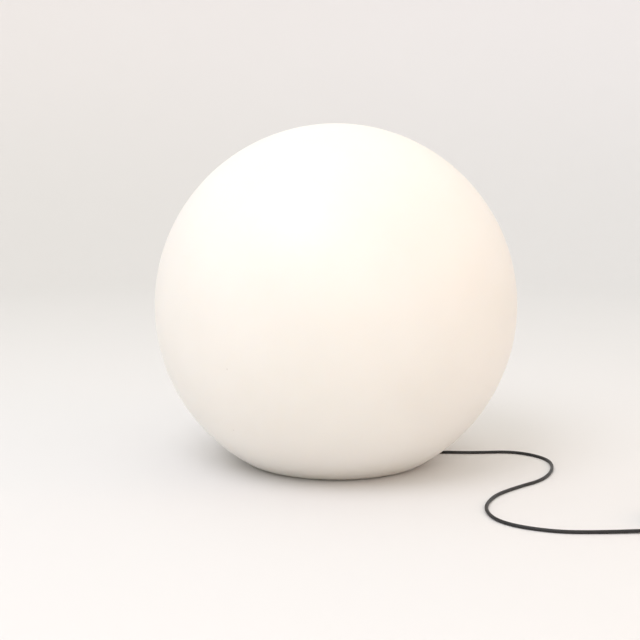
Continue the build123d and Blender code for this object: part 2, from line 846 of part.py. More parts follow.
with BuildPart() as nipple_nuts:
    for nut_low in (column_roof - nut_height, column_top + holder_base_floor):
        with BuildSketch(Plane.XY.offset(nut_low)):
            RegularPolygon(nut_across_flats / 2, 6, major_radius=False)
            Circle(nipple_radius + fit_clearance, mode=Mode.SUBTRACT)
        extrude(amount=nut_height)
keep(nipple_nuts.part, "nipple_nuts")

holder_inner = holder_radius - holder_wall
core_puck_radius = holder_inner - fit_clearance
with BuildPart() as holder_base:
    turned(
        (
            (nipple_radius + fit_clearance, column_top),
            (holder_radius - holder_edge, column_top),
            (holder_radius, column_top + holder_edge),
            (holder_radius, holder_rim),
            (holder_inner, holder_rim),
            (holder_inner, holder_core_low),
            (holder_inner - holder_edge, holder_core_low),
            (holder_inner - holder_edge, column_top + holder_base_floor),
            (nipple_radius + fit_clearance, column_top + holder_base_floor),
        )
    )
keep(holder_base.part, "holder_base")

with BuildPart() as holder_core:
    turned(
        (
            (0, holder_core_low),
            (core_puck_radius, holder_core_low),
            (core_puck_radius, holder_core_top),
            (holder_core_recess_radius, holder_core_top),
            (holder_core_recess_radius, contact_floor),
            (0, contact_floor),
        )
    )
    with BuildSketch(Plane.XY.offset(holder_core_low)):
        with GridLocations(0, holder_terminal_spacing, 1, 2):
            Circle(holder_terminal_radius + fit_clearance)
    extrude(amount=contact_floor - holder_core_low, mode=Mode.SUBTRACT)
keep(holder_core.part, "holder_core")

with BuildPart() as holder_terminals:
    with BuildSketch(Plane.XY.offset(terminal_low)):
        with GridLocations(0, holder_terminal_spacing, 1, 2):
            Circle(holder_terminal_radius)
    extrude(amount=contact_floor - terminal_low)
    with BuildSketch(Plane.XY.offset(terminal_low)):
        with GridLocations(0, holder_terminal_spacing, 1, 2):
            Circle(lead_radius + seat_clearance)
    extrude(amount=holder_core_low + lead_radius - terminal_low, mode=Mode.SUBTRACT)
keep(holder_terminals.part, "holder_terminals")

with BuildPart() as centre_contact:
    with BuildSketch(Plane.YZ.offset(-contact_width / 2)):
        with BuildLine():
            Polyline(
                (-terminal_y - contact_foot, contact_floor),
                (-terminal_y + contact_foot, contact_floor),
                (-lamp_tip_radius + 1, contact_floor + contact_spring_height - contact_thickness),
                (lamp_tip_radius, contact_floor + contact_spring_height - contact_thickness),
                (lamp_tip_radius, contact_floor + contact_spring_height),
                (-lamp_tip_radius, contact_floor + contact_spring_height),
                (-terminal_y + contact_foot / 2, contact_floor + contact_thickness),
                (-terminal_y - contact_foot, contact_floor + contact_thickness),
                close=True,
            )
        make_face()
    extrude(amount=contact_width)
keep(centre_contact.part, "centre_contact")


def helix_ridge(path_radius, ridge_radius, start_height, turns):
    """A round ridge that climbs as a right-hand E27 screw thread."""
    with BuildLine(Plane.XY.offset(start_height)) as climb:
        Helix(thread_pitch, thread_pitch * turns, path_radius)
    wire = climb.wires()[0]
    with BuildSketch(Plane(origin=wire @ 0, z_dir=wire % 0)) as section:
        Circle(ridge_radius)
    sweep(section.sketch, path=wire, is_frenet=True)


ridge_start = cap_low + thread_start
with BuildPart() as holder_sleeve:
    with BuildSketch(Plane.XY.offset(holder_core_top)):
        Circle(sleeve_radius + sleeve_wall)
        Circle(sleeve_radius, mode=Mode.SUBTRACT)
    extrude(amount=(sleeve_turns + 1) * thread_pitch)
    helix_ridge(
        sleeve_radius + sleeve_ridge_radius * 0.1,
        sleeve_ridge_radius,
        ridge_start - thread_pitch / 2,
        sleeve_turns - 1,
    )
    with BuildSketch(Plane.XY.offset(holder_core_top)):
        Circle(sleeve_radius + sleeve_wall + sleeve_ridge_radius * 2)
        Circle(sleeve_radius + sleeve_wall, mode=Mode.SUBTRACT)
    extrude(amount=(sleeve_turns + 1) * thread_pitch, mode=Mode.SUBTRACT)
keep(holder_sleeve.part, "holder_sleeve")

skirt_top = holder_rim + holder_skirt_height
with BuildPart() as holder_skirt:
    lip_radius = sleeve_radius + sleeve_wall + hole_clearance
    turned(
        (
            (holder_inner, holder_rim),
            (holder_radius, holder_rim),
            (holder_radius, skirt_top - 1.5),
            (holder_radius - 1.5, skirt_top),
            (lip_radius, skirt_top),
            (lip_radius, skirt_top - holder_lip_thickness),
            (holder_inner, skirt_top - holder_lip_thickness),
        )
    )
    with BuildSketch(Plane.XY.offset(holder_rim + 3)):
        with PolarLocations(holder_radius + holder_groove_outset, holder_groove_count):
            Circle(holder_groove_radius)
    extrude(amount=holder_skirt_height - 8, mode=Mode.SUBTRACT)
keep(holder_skirt.part, "holder_skirt")

# ---- LED lamp ----
with BuildPart() as bulb_tip:
    turned(
        (
            (0, tip_low),
            (lamp_tip_radius - 1.5, tip_low),
            (lamp_tip_radius, tip_low + edge_break),
            (lamp_tip_radius, tip_top),
            (0, tip_top),
        )
    )
keep(bulb_tip.part, "bulb_tip")

with BuildPart() as bulb_insulator:
    turned(
        (
            (0, tip_top),
            (lamp_tip_radius, tip_top),
            (lamp_insulator_radius, cap_low - edge_break),
            (lamp_insulator_radius, cap_low),
            (0, cap_low),
        )
    )
keep(bulb_insulator.part, "bulb_insulator")

with BuildPart() as bulb_cap:
    turned(
        (
            (lamp_insulator_radius - 2, cap_low),
            (lamp_insulator_radius, cap_low),
            (thread_root_radius, cap_low + rim_break),
            (thread_root_radius, cap_top),
            (lamp_cap_bore_radius, cap_top),
            (lamp_cap_bore_radius, cap_low + thread_start),
        )
    )
    helix_ridge(thread_radius - cap_ridge_radius, cap_ridge_radius, ridge_start, thread_turns)
keep(bulb_cap.part, "bulb_cap")

with BuildPart() as bulb_housing:
    turned(
        (
            (lamp_cap_bore_radius, cap_top),
            (lamp_housing_low_radius - 0.6, cap_top),
            (lamp_housing_low_radius, cap_top + rim_break),
            (dome_seat_radius, dome_low - 2),
            (dome_seat_radius, dome_low),
            (board_radius + fit_clearance, dome_low),
            (board_radius + fit_clearance, board_low),
            (board_radius - 2, board_low),
            (board_radius - 2, board_low - 1.5),
            (lamp_cap_bore_radius, cap_top + lamp_housing_wall),
        )
    )
keep(bulb_housing.part, "bulb_housing")

with BuildPart() as bulb_dome:
    dome_inner = dome_radius - lamp_dome_wall
    inner_seat = sqrt(dome_inner**2 - (dome_centre - dome_low) ** 2)
    with BuildSketch(Plane.XZ):
        with BuildLine():
            ThreePointArc((dome_seat_radius, dome_low), (dome_radius, dome_centre), (0, lamp_top))
            Line((0, lamp_top), (0, lamp_top - lamp_dome_wall))
            ThreePointArc(
                (0, lamp_top - lamp_dome_wall), (dome_inner, dome_centre), (inner_seat, dome_low)
            )
            Line((inner_seat, dome_low), (dome_seat_radius, dome_low))
        make_face()
    revolve(axis=Axis.Z)
keep(bulb_dome.part, "bulb_dome")

with BuildPart() as led_board:
    with BuildSketch(Plane.XY.offset(board_low)):
        Circle(board_radius)
    extrude(amount=board_thickness)
keep(led_board.part, "led_board")

with BuildPart() as led_chips:
    with BuildSketch(Plane.XY.offset(board_low + board_thickness)):
        with PolarLocations(chip_ring_radius, chip_count):
            Rectangle(chip_length, chip_width)
    extrude(amount=chip_height)
keep(led_chips.part, "led_chips")

with BuildPart() as driver_board:
    with BuildSketch(Plane.XY.offset(board_low - driver_length)):
        Rectangle(driver_width, driver_thickness)
    extrude(amount=driver_length)
keep(driver_board.part, "driver_board")

with BuildPart() as driver_parts:
    with BuildSketch(Plane.XY.offset(cap_top + 1)):
        with Locations((0, driver_thickness / 2 + capacitor_radius)):
            Circle(capacitor_radius)
    extrude(amount=capacitor_length)
    with BuildSketch(Plane.XY.offset(cap_top + 6)):
        with Locations((0, -driver_thickness / 2 - transformer_size / 2)):
            Rectangle(transformer_size, transformer_size)
    extrude(amount=transformer_size)
keep(driver_parts.part, "driver_parts")

# ---- Flex on the ground, coil and plug ----
coil_start_x = coil_x - flex_diameter
route = (
    (gland_x, gland_y, gland_mouth),
    (gland_x, gland_y, exit_bend_height),
    (gland_x + exit_bend_height - flex_radius, gland_y, flex_radius),
    (105, 22.5, flex_radius),
    (170, 19.5, flex_radius),
    (235, 21.5, flex_radius),
    (298, 17, flex_radius),
    (391, 27, flex_radius),
    (448, -32, flex_radius),
    (443, -110, flex_radius),
    (404, -192, flex_radius),
    (345.5, -239, flex_radius),
    (287.5, -296.5, flex_radius),
    (256, -377, flex_radius),
    (271.5, -453.5, flex_radius),
    (351.5, -498, flex_radius),
    (434, -499, flex_radius),
    (512, coil_entry_y, coil_low),
    (coil_start_x, coil_entry_y, coil_low),
)
with BuildPart() as cord:
    cord_wire = tube(route, flex_radius)
keep(cord.part, "cord")


def coil_point(angle_from_start, radius, height):
    angle = radians(angle_from_start - 90)
    return Vector(coil_x + radius * cos(angle), coil_y + radius * sin(angle), height)


def coil_heading(angle_from_start, radius_rate):
    """The flex's direction there, as it winds anticlockwise and in or out."""
    angle = radians(angle_from_start - 90)
    return Vector(
        radius_rate * cos(angle) - sin(angle), radius_rate * sin(angle) + cos(angle), 0
    ).normalized()


def half_turn(start, start_heading, end, end_heading):
    """Two arcs from start to end that are tangent to both headings."""
    span = end - start
    headings = start_heading + end_heading
    square = 2 * (start_heading.dot(end_heading) - 1)
    across = span.dot(headings)
    reach = (across - sqrt(across**2 - square * span.dot(span))) / square
    middle = (start + start_heading * reach + end - end_heading * reach) * 0.5
    TangentArc(start, middle, tangent=start_heading)
    TangentArc(end, middle, tangent=end_heading * -1)


with BuildPart() as cord_coil:
    with BuildLine() as winding:
        turn, radius, height = 0.0, coil_outer_radius, coil_low
        start = coil_point(turn, radius, height)
        Line((coil_start_x, coil_entry_y, coil_low), start)
        heading = Vector(1, 0, 0)
        way = -1
        for layer in range(coil_layers):
            last = layer == coil_layers - 1
            steps = round(2 * (coil_layer_turns - (coil_last_cut if last else 0)) * 2)
            # the layer in half turns, with a quarter turn left over in the last one
            while steps > 0:
                part_turn = min(2, steps) * 90
                turn += part_turn
                radius += way * coil_turn_step * part_turn / 360
                rate = way * coil_turn_step / (2 * pi * radius)
                end = coil_point(turn, radius, height)
                end_way = coil_heading(turn, rate)
                if last and steps <= 2:
                    end_way = coil_heading(turn, 0)
                half_turn(start, heading, end, end_way)
                start, heading = end, end_way
                steps -= 2
            if not last:
                # the climb, in the half turn where the spiral reverses
                turn += 180
                height += coil_layer_step
                way = -way
                rate = way * coil_turn_step / (2 * pi * radius)
                end = coil_point(turn, radius, height)
                end_way = coil_heading(turn, rate)
                half_turn(start, heading, end, end_way)
                start, heading = end, end_way
        Line(start, start + heading * flex_diameter)
        coil_end = start + heading * flex_diameter
    coil_wire = winding.wires()[0]
    with BuildSketch(Plane(origin=coil_wire @ 0, z_dir=coil_wire % 0)):
        Circle(flex_radius)
    sweep(path=coil_wire)
keep(cord_coil.part, "cord_coil")

tie_inner = coil_inner_radius - coil_turn_step / 8 - flex_radius - tie_give
tie_outer = coil_outer_radius + coil_turn_step / 8 + flex_radius + tie_give
tie_top = coil_top + flex_radius + tie_clearance
with BuildPart() as coil_ties:
    for number in range(tie_count):
        angle = radians(tie_first_angle + 360 / tie_count * number)
        outward = Vector(cos(angle), sin(angle), 0)
        along = Vector(-sin(angle), cos(angle), 0)
        section = Plane(
            origin=Vector(coil_x, coil_y, 0) - along * (tie_width / 2), x_dir=outward, z_dir=along
        )
        with BuildSketch(section):
            # the sketch's upright axis points down or up with the plane, so use its sign
            up = 1 if section.y_dir.Z > 0 else -1
            middle = ((tie_inner + tie_outer) / 2, up * (tie_thickness + tie_top) / 2)
            with Locations(middle):
                RectangleRounded(
                    tie_outer - tie_inner + 2 * tie_thickness,
                    tie_top + tie_thickness,
                    tie_corner_radius + tie_thickness,
                )
                RectangleRounded(
                    tie_outer - tie_inner, tie_top - tie_thickness, tie_corner_radius,
                    mode=Mode.SUBTRACT,
                )
        extrude(amount=tie_width)
keep(coil_ties.part, "coil_ties")

with BuildPart() as cord_end:
    end_wire = tube(
        (
            (coil_end.X, coil_end.Y, coil_end.Z),
            (coil_end.X, coil_end.Y + tail_straight, coil_end.Z),
            (coil_end.X + tail_shift, coil_end.Y + tail_straight + tail_run, plug_height + tail_rise),
            (plug_x, plug_sleeve_start_y - tail_straight, plug_height),
            (plug_x, plug_sleeve_start_y, plug_height),
        ),
        flex_radius,
    )
keep(cord_end.part, "cord_end")

along_plug = Plane(origin=(plug_x, plug_sleeve_start_y, plug_height), x_dir=(1, 0, 0), z_dir=(0, 1, 0))
with BuildPart() as plug_sleeve:
    with BuildSketch(along_plug):
        Circle(plug_sleeve_low_radius)
    with BuildSketch(along_plug.offset(plug_sleeve_length)):
        Circle(plug_sleeve_high_radius)
    loft()
    for ring in range(4):
        with BuildSketch(along_plug.offset(plug_sleeve_length * (0.15 + 0.2 * ring))):
            Circle(plug_sleeve_high_radius * 2)
            Circle(plug_sleeve_low_radius - 0.4 + 0.5 * ring, mode=Mode.SUBTRACT)
        extrude(amount=plug_sleeve_length * 0.08, mode=Mode.SUBTRACT)
keep(plug_sleeve.part, "plug_sleeve")

with BuildPart() as plug_body:
    with BuildSketch(along_plug.offset(plug_sleeve_length)):
        RectangleRounded(plug_width * 0.6, plug_thickness * 0.8, plug_corner_radius * 0.8)
    with BuildSketch(along_plug.offset(plug_sleeve_length + plug_length * 0.5)):
        RectangleRounded(plug_width, plug_thickness, plug_corner_radius)
    loft()
    with BuildSketch(along_plug.offset(plug_sleeve_length + plug_length * 0.5)):
        RectangleRounded(plug_width, plug_thickness, plug_corner_radius)
    extrude(amount=plug_length * 0.5)
    chamfer(plug_body.edges().group_by(Axis.Y)[-1], plug_face_break)
keep(plug_body.part, "plug_body")

with BuildPart() as plug_pins:
    with BuildSketch(along_plug.offset(plug_sleeve_length + plug_length)):
        with GridLocations(plug_pin_spacing, 0, 2, 1):
            Circle(plug_pin_radius)
    extrude(amount=plug_pin_length)
    chamfer(plug_pins.edges().group_by(Axis.Y)[-1], edge_break)
keep(plug_pins.part, "plug_pins")

# ---- Lengths, bends and the coil's own gap ----
flex_length = (cord_wire.length + coil_wire.length + end_wire.length) / 1000
print("flex outside the globe, m:", round(flex_length, 3))
print("bend radii of the cord:", [round(r) for r in corner_radii(route)])
section_area = pi * flex_radius**2
for name, piece, wire in (("cord", cord, cord_wire), ("coil", cord_coil, coil_wire)):
    print(name, "volume over section x length:", round(piece.part.volume / (section_area * wire.length), 4))
samples = [coil_wire @ (i / 1600) for i in range(1601)]
apart = round(1600 * 2 * pi * coil_inner_radius * 0.6 / coil_wire.length)
closest = min(
    dist((a.X, a.Y, a.Z), (b.X, b.Y, b.Z))
    for i, a in enumerate(samples)
    for b in samples[i + apart :]
)
print("least gap between the coil's turns:", round(closest - flex_diameter, 2))

os.makedirs("parts", exist_ok=True)
for part in made:
    export_step(part, f"parts/{part.label}.step")
print(len(made), "sub-parts")
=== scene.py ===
import bpy, json, math
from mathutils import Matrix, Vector

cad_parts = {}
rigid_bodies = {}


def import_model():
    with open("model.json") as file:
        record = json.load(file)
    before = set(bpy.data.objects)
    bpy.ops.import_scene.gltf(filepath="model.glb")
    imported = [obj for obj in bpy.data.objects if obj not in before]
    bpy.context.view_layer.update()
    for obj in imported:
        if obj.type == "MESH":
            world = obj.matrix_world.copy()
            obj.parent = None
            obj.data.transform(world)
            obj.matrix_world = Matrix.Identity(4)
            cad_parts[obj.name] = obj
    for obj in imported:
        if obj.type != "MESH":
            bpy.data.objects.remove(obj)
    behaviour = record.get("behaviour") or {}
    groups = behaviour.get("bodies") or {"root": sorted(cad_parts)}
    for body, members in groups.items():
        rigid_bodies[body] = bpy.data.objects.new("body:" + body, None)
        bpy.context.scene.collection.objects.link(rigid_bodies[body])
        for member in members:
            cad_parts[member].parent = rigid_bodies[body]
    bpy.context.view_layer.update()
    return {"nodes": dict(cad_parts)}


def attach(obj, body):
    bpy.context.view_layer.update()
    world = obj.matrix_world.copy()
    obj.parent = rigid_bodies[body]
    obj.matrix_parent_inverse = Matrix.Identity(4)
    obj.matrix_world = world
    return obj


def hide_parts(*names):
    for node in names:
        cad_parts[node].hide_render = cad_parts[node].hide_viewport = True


# The looks of a garden globe light, in metres: its flex, straps and plug, the finish
# of every piece, and a plain studio.
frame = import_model()
nodes = frame["nodes"]
print("frame loaded:", len(nodes), "nodes")


cameraSettings = {
    "place": (-0.0324, -2.0897, 0.5505),  # 2.1 m off, 0.55 m over the floor
    "tiltDown": 7.012,  # degrees
    "focalLengthPixels": 1000,  # in a frame 640 pixels wide
    "frameWidth": 640,
    "sensorWidth": 36,
    "farthest": 100,  # metres, past the studio's wall
}


def setCamera(settings):
    data = bpy.data.cameras.new("photoCamera")
    data.sensor_width = settings["sensorWidth"]
    data.lens = settings["focalLengthPixels"] / settings["frameWidth"] * data.sensor_width
    data.clip_end = settings["farthest"]
    camera = bpy.data.objects.new("photoCamera", data)
    bpy.context.scene.collection.objects.link(camera)
    camera.location = settings["place"]
    camera.rotation_euler = (math.radians(90 - settings["tiltDown"]), 0, 0)
    bpy.context.scene.camera = camera


setCamera(cameraSettings)
print("camera set")


# The flex is one spline from the gland to the plug.
flexSettings = {
    "diameter": 0.0064,
    "length": 5.0,
    "stepsPerPoint": 8,
    "roundness": 3,  # of its section
    "route": [  # from the gland, over the ground, to the coil
        (0.044, 0.022, 0.044),
        (0.044, 0.022, 0.0225),
        (0.0633, 0.022, 0.0032),
        (0.105, 0.0225, 0.0032),
        (0.170, 0.0195, 0.0032),
        (0.235, 0.0215, 0.0032),
        (0.298, 0.017, 0.0032),
        (0.391, 0.027, 0.0032),
        (0.448, -0.032, 0.0032),
        (0.443, -0.110, 0.0032),
        (0.404, -0.192, 0.0032),
        (0.3455, -0.239, 0.0032),
        (0.2875, -0.2965, 0.0032),
        (0.256, -0.377, 0.0032),
        (0.2715, -0.4535, 0.0032),
        (0.3515, -0.498, 0.0032),
        (0.434, -0.499, 0.0032),
        (0.512, -0.49435, 0.00445),
        (0.5836, -0.49435, 0.00445),
    ],
    "coilCentre": (0.590, -0.443),
    "coilInner": 0.0265,  # radius of the innermost turn
    "coilStep": 0.0071,  # from turn to turn
    "coilLow": 0.00445,  # height of the first layer
    "layerStep": 0.0069,
    "layerTurns": (3.5, 3.5, 3.5, 3.25),
    "pointsPerTurn": 16,
    "tail": [  # from the coil's end to the plug
        (0.639575, -0.4186, 0.02515),
        (0.641575, -0.3876, 0.015),
        (0.6435, -0.360, 0.012),
        (0.6435, -0.342, 0.012),
    ],
}


def coilPoints(settings):
    centreX, centreY = settings["coilCentre"]
    perTurn = settings["pointsPerTurn"]
    outset = 1 / math.cos(math.pi / perTurn)  # the spline runs inside its points
    step = settings["coilStep"]
    angle = -math.pi / 2
    radius = settings["coilInner"] + settings["layerTurns"][0] * step
    height = settings["coilLow"]
    way = -1  # inwards first
    points = []
    for layer, turns in enumerate(settings["layerTurns"]):
        for i in range(round(turns * perTurn)):
            angle += 2 * math.pi / perTurn
            radius += way * step / perTurn
            points.append((angle, radius, height))
        if layer < len(settings["layerTurns"]) - 1:  # climbs in half a turn
            for i in range(1, perTurn // 2 + 1):
                share = i / (perTurn // 2)
                angle += 2 * math.pi / perTurn
                swell = way * step / 2 * share * (1 - share)
                rise = settings["layerStep"] * (1 - math.cos(math.pi * share)) / 2
                points.append((angle, radius + swell, height + rise))
            height += settings["layerStep"]
            way = -way
    return [
        (centreX + r * outset * math.cos(a), centreY + r * outset * math.sin(a), z)
        for a, r, z in points
    ]


def makeFlex(settings):
    points = settings["route"] + coilPoints(settings) + settings["tail"]
    curve = bpy.data.curves.new("flexCord", "CURVE")
    curve.dimensions = "3D"
    spline = curve.splines.new("NURBS")
    spline.points.add(len(points) - 1)
    for place, point in zip(points, spline.points):
        point.co = (*place, 1)
        point.radius = settings["diameter"] / 2  # keeps the curve's bounds true
    spline.order_u = 3
    spline.use_endpoint_u = True
    curve.resolution_u = settings["stepsPerPoint"]
    curve.bevel_depth = 1
    curve.bevel_resolution = settings["roundness"]
    curve.use_fill_caps = True
    flex = bpy.data.objects.new("flexCord", curve)
    bpy.context.scene.collection.objects.link(flex)
    return flex


flexCord = makeFlex(flexSettings)
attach(flexCord, "base")
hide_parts("cord", "cord_coil", "cord_end")
print("flex laid")


# Small helpers for modelling and for shader trees.
def deselectAll():
    for obj in bpy.data.objects:
        obj.select_set(False)
    bpy.context.view_layer.objects.active = None


def startPiece(name):
    piece = bpy.context.active_object
    piece.name = piece.data.name = name
    return piece


def editing(piece):
    bpy.context.view_layer.objects.active = piece
    piece.select_set(True)
    bpy.ops.object.mode_set(mode="EDIT")


def pickAllEdges():
    bpy.ops.mesh.select_mode(type="EDGE")
    bpy.ops.mesh.select_all(action="SELECT")


def pickPoints(piece, test):
    bpy.ops.object.mode_set(mode="OBJECT")
    for part in (piece.data.polygons, piece.data.edges):
        part.foreach_set("select", [False] * len(part))
    piece.data.vertices.foreach_set("select", [test(point.co) for point in piece.data.vertices])
    bpy.ops.object.mode_set(mode="EDIT")
    bpy.ops.mesh.select_mode(type="VERT")


def startSection(name, size, place, corner, steps):  # upright, with rounded corners
    deselectAll()
    bpy.ops.mesh.primitive_plane_add(size=1, rotation=(math.pi / 2, 0, 0))
    piece = startPiece(name)
    piece.scale = (*size, 1)
    piece.location = place
    bpy.ops.object.transform_apply(location=True, rotation=True, scale=True)
    editing(piece)
    bpy.ops.mesh.select_all(action="SELECT")
    bpy.ops.mesh.bevel(offset=corner, segments=steps, affect="VERTICES")
    bpy.ops.mesh.select_all(action="SELECT")
    return piece


def joinPieces(pieces):
    deselectAll()
    for piece in pieces:
        piece.select_set(True)
    bpy.context.view_layer.objects.active = pieces[0]
    bpy.ops.object.join()
    return pieces[0]


def applyModifier(piece, kind, name, **values):
    modifier = piece.modifiers.new(name, kind)
    for key, value in values.items():
        setattr(modifier, key, value)
    bpy.context.view_layer.objects.active = piece
    bpy.ops.object.modifier_apply(modifier=name)


def settlePiece(piece, angle):  # edges sharper than the angle stay crisp
    bpy.ops.object.mode_set(mode="OBJECT")
    deselectAll()
    piece.select_set(True)
    bpy.context.view_layer.objects.active = piece
    bpy.ops.object.transform_apply(location=True, rotation=True, scale=True)
    bpy.ops.object.shade_smooth_by_angle(angle=math.radians(angle))
    deselectAll()


def setInputs(tree, node, inputs):
    for key, value in inputs.items():
        if isinstance(value, bpy.types.NodeSocket):
            tree.links.new(value, node.inputs[key])
        else:
            node.inputs[key].default_value = value


def addNode(tree, kind, inputs=None, **values):
    node = tree.nodes.new("ShaderNode" + kind)
    for key, value in values.items():
        setattr(node, key, value)
    setInputs(tree, node, inputs or {})
    return node


def makeGroup(name, inputs, outputs):  # an input without a value is a vector
    group = bpy.data.node_groups.new(name, "ShaderNodeTree")
    for label, value in inputs.items():
        kind = "NodeSocketVector" if value is None else "NodeSocketFloat"
        socket = group.interface.new_socket(label, in_out="INPUT", socket_type=kind)
        if value is not None:
            socket.default_value = value
    for label in outputs:
        group.interface.new_socket(label, in_out="OUTPUT", socket_type="NodeSocketFloat")
    entry = group.nodes.new("NodeGroupInput")
    leave = group.nodes.new("NodeGroupOutput")
    return group, entry.outputs, leave.inputs


# Effects for the finishes, built once.
def makeMouldGrain():
    sizes = {"Vector": None, "Fine Scale": 900.0, "Broad Scale": 12.0, "Fine Share": 0.5}
    group, given, result = makeGroup("mouldGrain", sizes, ["Height", "Tone"])
    place = given["Vector"]
    fine = addNode(group, "TexNoise", {"Vector": place, "Scale": given["Fine Scale"], "Detail": 3.0})
    broad = addNode(group, "TexNoise", {"Vector": place, "Scale": given["Broad Scale"]})
    both = {"Factor": given["Fine Share"], "A": broad.outputs[0], "B": fine.outputs[0]}
    height = addNode(group, "Mix", both)
    tone = addNode(group, "MapRange", {"Value": broad.outputs[0], "From Min": 0.3, "From Max": 0.7})
    group.links.new(height.outputs[0], result["Height"])
    group.links.new(tone.outputs[0], result["Tone"])
    return group


def makeTurnedMarks():
    sizes = {"Vector": None, "Along": 2500.0, "Across": 60.0}
    group, given, result = makeGroup("turnedMarks", sizes, ["Height", "Tone"])
    axes = addNode(group, "SeparateXYZ", {"Vector": given["Vector"]}).outputs
    stretched = {}
    for axis, size in (("X", "Across"), ("Y", "Across"), ("Z", "Along")):
        pull = addNode(group, "Math", {0: axes[axis], 1: given[size]}, operation="MULTIPLY")
        stretched[axis] = pull.outputs[0]
    place = addNode(group, "CombineXYZ", stretched).outputs[0]
    lines = addNode(group, "TexNoise", {"Vector": place, "Scale": 1.0})
    stain = addNode(group, "TexNoise", {"Vector": given["Vector"], "Scale": 140.0, "Detail": 3.0})
    tone = addNode(group, "MapRange", {"Value": stain.outputs[0], "From Min": 0.35, "From Max": 0.7})
    group.links.new(lines.outputs[0], result["Height"])
    group.links.new(tone.outputs[0], result["Tone"])
    return group


def makeGroundDust():
    sizes = {"Vector": None, "Top": 0.05, "Scale": 35.0, "Strength": 0.5}
    group, given, result = makeGroup("groundDust", sizes, ["Mask"])
    height = addNode(group, "SeparateXYZ", {"Vector": given["Vector"]}).outputs["Z"]
    fade = {"Value": height, "From Min": 0.0, "From Max": given["Top"], "To Min": 1.0, "To Max": 0.0}
    level = addNode(group, "MapRange", fade, interpolation_type="SMOOTHSTEP")
    look = {"Vector": given["Vector"], "Scale": given["Scale"], "Detail": 5.0, "Roughness": 0.65}
    cloud = addNode(group, "TexNoise", look)
    patches = addNode(group, "MapRange", {"Value": cloud.outputs[0], "From Min": 0.35, "From Max": 0.75})
    spread = addNode(group, "Math", {0: level.outputs[0], 1: patches.outputs[0]}, operation="MULTIPLY")
    mask = addNode(group, "Math", {0: spread.outputs[0], 1: given["Strength"]}, operation="MULTIPLY")
    group.links.new(mask.outputs[0], result["Mask"])
    return group


def makeDirtSpot():
    sizes = {"Vector": None, "X": 0.0, "Y": 0.0, "Z": 0.0, "Radius": 0.001, "Strength": 0.5}
    group, given, result = makeGroup("dirtSpot", sizes, ["Mask"])
    middle = addNode(group, "CombineXYZ", {axis: given[axis] for axis in "XYZ"}).outputs[0]
    away = addNode(group, "VectorMath", {0: given["Vector"], 1: middle}, operation="DISTANCE")
    fade = {"Value": away.outputs["Value"], "From Max": given["Radius"], "To Min": 1.0, "To Max": 0.0}
    spot = addNode(group, "MapRange", fade, interpolation_type="SMOOTHSTEP")
    mask = addNode(group, "Math", {0: spot.outputs[0], 1: given["Strength"]}, operation="MULTIPLY")
    group.links.new(mask.outputs[0], result["Mask"])
    return group


def makeLoopPileWithPitShade():
    sizes = {"Vector": None, "Scale": 1400.0, "Rows": 260.0}
    group, given, result = makeGroup("loopPileWithPitShade", sizes, ["Height", "Tone"])
    tufts = addNode(group, "TexVoronoi", {"Vector": given["Vector"], "Scale": given["Scale"]})
    waves = {"Vector": given["Vector"], "Scale": given["Rows"], "Distortion": 3.0}
    rows = addNode(group, "TexWave", waves)
    depth = tufts.outputs["Distance"]
    height = addNode(group, "Mix", {"Factor": 0.35, "A": depth, "B": rows.outputs["Fac"]})
    # The tone follows the relief. It is darker in the pits between the loops and lighter on their tops,
    # which is painted shade.
    tone = addNode(group, "MapRange", {"Value": depth, "From Min": 0.1, "From Max": 0.8})
    group.links.new(height.outputs[0], result["Height"])
    group.links.new(tone.outputs[0], result["Tone"])
    return group


effects = {
    "grain": makeMouldGrain(),
    "turned": makeTurnedMarks(),
    "dust": makeGroundDust(),
    "spot": makeDirtSpot(),
    "pile": makeLoopPileWithPitShade(),
}
print("shared effects built")


def placeGroup(tree, effect, inputs):
    node = tree.nodes.new("ShaderNodeGroup")
    node.node_tree = effects[effect]
    setInputs(tree, node, inputs)
    return node.outputs


colourSockets = {"first": 6, "second": 7, "result": 2}  # a Mix node has a set for each type


def mixColours(tree, factor, first, second):
    mix = addNode(tree, "Mix", {0: factor}, data_type="RGBA")
    for side, value in (("first", first), ("second", second)):
        socket = mix.inputs[colourSockets[side]]
        if isinstance(value, bpy.types.NodeSocket):
            tree.links.new(value, socket)
        else:
            socket.default_value = (*value, 1)
    return mix.outputs[colourSockets["result"]]


def addDirt(tree, look, place, colour):
    if "dust" in look:
        dust = placeGroup(tree, "dust", {"Vector": place, **look["dust"]})
        colour = mixColours(tree, dust["Mask"], colour, look["dustColour"])
    for spot in look.get("spots", []):
        x, y, z, radius = spot
        size = {"Vector": place, "X": x, "Y": y, "Z": z, "Radius": radius}
        mark = placeGroup(tree, "spot", {**size, "Strength": look["spotStrength"]})
        colour = mixColours(tree, mark["Mask"], colour, look["spotColour"])
    return colour


usualBump = 0.3


def makeFinish(name, look):
    material = bpy.data.materials.new(name)
    material.use_nodes = True
    tree = material.node_tree
    shader = tree.nodes["Principled BSDF"]
    place = addNode(tree, "TexCoord").outputs["Object"]
    if "turn" in look:  # lays the marks along another axis
        turn = [math.radians(angle) for angle in look["turn"]]
        place = addNode(tree, "Mapping", {"Vector": place, "Rotation": turn}).outputs[0]
    marks = placeGroup(tree, look["effect"], {"Vector": place, **look["marks"]})
    colour = mixColours(tree, marks["Tone"], look["colour"], look["shade"])
    tree.links.new(addDirt(tree, look, place, colour), shader.inputs["Base Color"])
    smooth, dull = look["roughness"]
    rough = addNode(tree, "MapRange", {"Value": marks["Tone"], "To Min": smooth, "To Max": dull})
    tree.links.new(rough.outputs[0], shader.inputs["Roughness"])
    relief = {"Height": marks["Height"], "Strength": look.get("bump", usualBump), "Distance": look["depth"]}
    tree.links.new(addNode(tree, "Bump", relief).outputs[0], shader.inputs["Normal"])
    for key, value in look.get("shader", {}).items():
        shader.inputs[key].default_value = value
    return material


